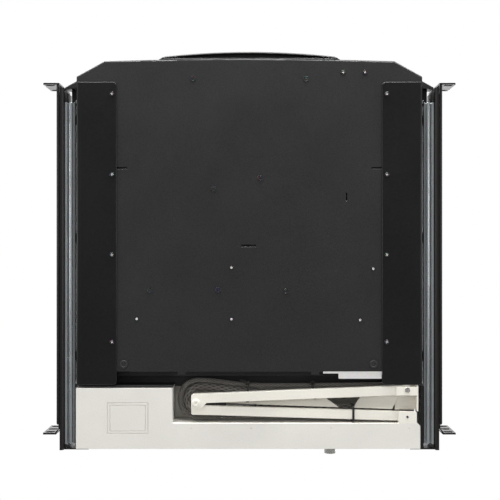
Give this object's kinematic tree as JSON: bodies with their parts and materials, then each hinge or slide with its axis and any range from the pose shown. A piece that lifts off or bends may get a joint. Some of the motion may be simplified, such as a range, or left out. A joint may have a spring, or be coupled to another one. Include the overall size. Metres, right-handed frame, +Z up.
{
  "type": "rack console drawer",
  "caption": "Pull-out rack console: keyboard tray with a fold-down flat screen on telescopic slides, rear enclosure and folding cable arm.",
  "frame": {"origin": "centre of the front rack mounting plane, midway between the four front rack holes", "axes": "+X right seen from the front, -Y out of the rack towards the user, +Z up"},
  "size_m": [0.48, 0.473, 0.0436],
  "materials": {
    "black_steel": "fine-textured black powder coat",
    "bracket_black": "smooth black paint",
    "grey_enclosure": "warm light grey powder coat",
    "cream_metal": "cream powder coat",
    "zinc_steel": "bright zinc plate",
    "bright_steel": "satin nickel plate",
    "black_screws": "black oxide",
    "black_plastic": "textured moulded black",
    "key_plastic": "satin key caps",
    "button_plastic": "satin black",
    "screen_glass": "anti-glare dark panel",
    "module_steel": "zinc sheet",
    "board": "green solder mask",
    "cable_braid": "black braided sleeve",
    "rubber": "moulded rubber"
  },
  "bodies": {
    "rack_frame": {"front_ear_left": "bracket_black", "front_ear_right": "bracket_black", "rail_bracket_left": "bracket_black", "rail_bracket_right": "bracket_black", "standoffs": "bright_steel", "tie_tabs": "bracket_black", "slide_outer_left": "zinc_steel", "slide_outer_right": "zinc_steel", "enclosure_base": "grey_enclosure", "enclosure_cover": "grey_enclosure", "main_board": "board", "video_port": "bright_steel", "usb_ports": "bright_steel", "power_collar": "bright_steel", "cable_grommet": "rubber", "arm_bracket_fixed": "cream_metal", "cable_inlet": "cable_braid"},
    "rear_mount_left": {"rear_ear_left": "bracket_black"},
    "rear_mount_right": {"rear_ear_right": "bracket_black"},
    "drawer": {"side_bracket_left": "bracket_black", "side_bracket_right": "bracket_black", "slide_inner_left": "zinc_steel", "slide_inner_right": "zinc_steel", "tray_pan": "black_steel", "front_fascia": "black_plastic", "front_handle": "black_plastic", "tray_fasteners": "black_screws", "keyboard_deck": "black_plastic", "key_rows": "key_plastic", "rear_deck": "black_steel", "touchpad": "button_plastic", "tray_hinge_brackets": "bracket_black", "hinge_pins": "bright_steel", "cable_clamp_plate": "bright_steel", "rear_shelf": "black_steel", "arm_bracket_drawer": "cream_metal", "cable_drawer": "cable_braid"},
    "middle_left": {"slide_middle_left": "zinc_steel"},
    "middle_right": {"slide_middle_right": "zinc_steel"},
    "cages_outer": {"ball_cages_outer": "bright_steel"},
    "cages_inner": {"ball_cages_inner": "bright_steel"},
    "space": {"space_bar": "key_plastic"},
    "enter": {"enter_key": "key_plastic"},
    "pad_button_left": {"touchpad_button_left": "button_plastic"},
    "pad_button_right": {"touchpad_button_right": "button_plastic"},
    "lid": {"lid_back_cover": "black_steel", "lid_bezel": "black_plastic", "lcd_glass": "screen_glass", "lcd_module": "module_steel", "lid_hinge_arms": "bright_steel"},
    "menu_1": {"menu_button_1": "button_plastic"},
    "menu_2": {"menu_button_2": "button_plastic"},
    "menu_3": {"menu_button_3": "button_plastic"},
    "power": {"power_button": "button_plastic"},
    "arm_lower": {"lower_arm": "cream_metal", "cable_lower": "cable_braid", "cable_elbow": "cable_braid"},
    "arm_upper": {"upper_arm": "cream_metal", "cable_upper": "cable_braid", "cable_boot": "rubber"}
  },
  "joints": [
    {"name": "drawer_slide", "type": "slide", "parent": "rack_frame", "child": "drawer", "axis": [0, -1, 0], "range_m": [0, 0.36]},
    {"name": "middle_slide_left", "type": "slide", "parent": "rack_frame", "child": "middle_left", "axis": [0, -1, 0], "range_m": [0, 0.18]},
    {"name": "middle_slide_right", "type": "slide", "parent": "rack_frame", "child": "middle_right", "axis": [0, -1, 0], "range_m": [0, 0.18]},
    {"name": "outer_cage_slide", "type": "slide", "parent": "rack_frame", "child": "cages_outer", "axis": [0, -1, 0], "range_m": [0, 0.09]},
    {"name": "inner_cage_slide", "type": "slide", "parent": "rack_frame", "child": "cages_inner", "axis": [0, -1, 0], "range_m": [0, 0.27]},
    {"name": "rear_mount_slide_left", "type": "slide", "parent": "rack_frame", "child": "rear_mount_left", "axis": [0, 1, 0], "range_m": [-0.005, 0.07]},
    {"name": "rear_mount_slide_right", "type": "slide", "parent": "rack_frame", "child": "rear_mount_right", "axis": [0, 1, 0], "range_m": [-0.005, 0.07]},
    {"name": "lid_hinge", "type": "hinge", "parent": "drawer", "child": "lid", "pos_m": [0, 0.329, 0.008], "axis": [-1, 0, 0], "range_deg": [0, 110]},
    {"name": "arm_base", "type": "hinge", "parent": "rack_frame", "child": "arm_lower", "pos_m": [0.184, 0.3888, -0.014], "axis": [0, 0, 1], "range_deg": [0, 48.77], "deforming": ["cable_inlet", "cable_drawer"]},
    {"name": "arm_elbow", "type": "hinge", "parent": "arm_lower", "child": "arm_upper", "pos_m": [-0.0625, 0.37305, -0.014], "axis": [0, 0, 1], "range_deg": [-97.55, 0], "deforming": ["cable_elbow"]},
    {"name": "space_press", "type": "slide", "parent": "drawer", "child": "space", "axis": [0, 0, -1], "range_m": [0, 0.002], "stiffness_N_per_m": 250, "springref_m": -0.001},
    {"name": "enter_press", "type": "slide", "parent": "drawer", "child": "enter", "axis": [0, 0, -1], "range_m": [0, 0.002], "stiffness_N_per_m": 250, "springref_m": -0.001},
    {"name": "pad_left_press", "type": "slide", "parent": "drawer", "child": "pad_button_left", "axis": [0, 0, -1], "range_m": [0, 0.0008], "stiffness_N_per_m": 400, "springref_m": -0.001},
    {"name": "pad_right_press", "type": "slide", "parent": "drawer", "child": "pad_button_right", "axis": [0, 0, -1], "range_m": [0, 0.0008], "stiffness_N_per_m": 400, "springref_m": -0.001},
    {"name": "menu_1_press", "type": "slide", "parent": "lid", "child": "menu_1", "axis": [0, 0, 1], "range_m": [0, 0.0006], "stiffness_N_per_m": 400, "springref_m": -0.001},
    {"name": "menu_2_press", "type": "slide", "parent": "lid", "child": "menu_2", "axis": [0, 0, 1], "range_m": [0, 0.0006], "stiffness_N_per_m": 400, "springref_m": -0.001},
    {"name": "menu_3_press", "type": "slide", "parent": "lid", "child": "menu_3", "axis": [0, 0, 1], "range_m": [0, 0.0006], "stiffness_N_per_m": 400, "springref_m": -0.001},
    {"name": "power_press", "type": "slide", "parent": "lid", "child": "power", "axis": [0, 0, 1], "range_m": [0, 0.0006], "stiffness_N_per_m": 400, "springref_m": -0.001}
  ],
  "couplings": [
    {"joint": "middle_slide_left", "follows": "drawer_slide", "ratio": 0.5},
    {"joint": "middle_slide_right", "follows": "drawer_slide", "ratio": 0.5},
    {"joint": "outer_cage_slide", "follows": "drawer_slide", "ratio": 0.25},
    {"joint": "inner_cage_slide", "follows": "drawer_slide", "ratio": 0.75},
    {"joint": "arm_base", "follows": "drawer_slide", "rad_per_m": 2.3642},
    {"joint": "arm_elbow", "follows": "drawer_slide", "rad_per_m": -4.7284}
  ]
}
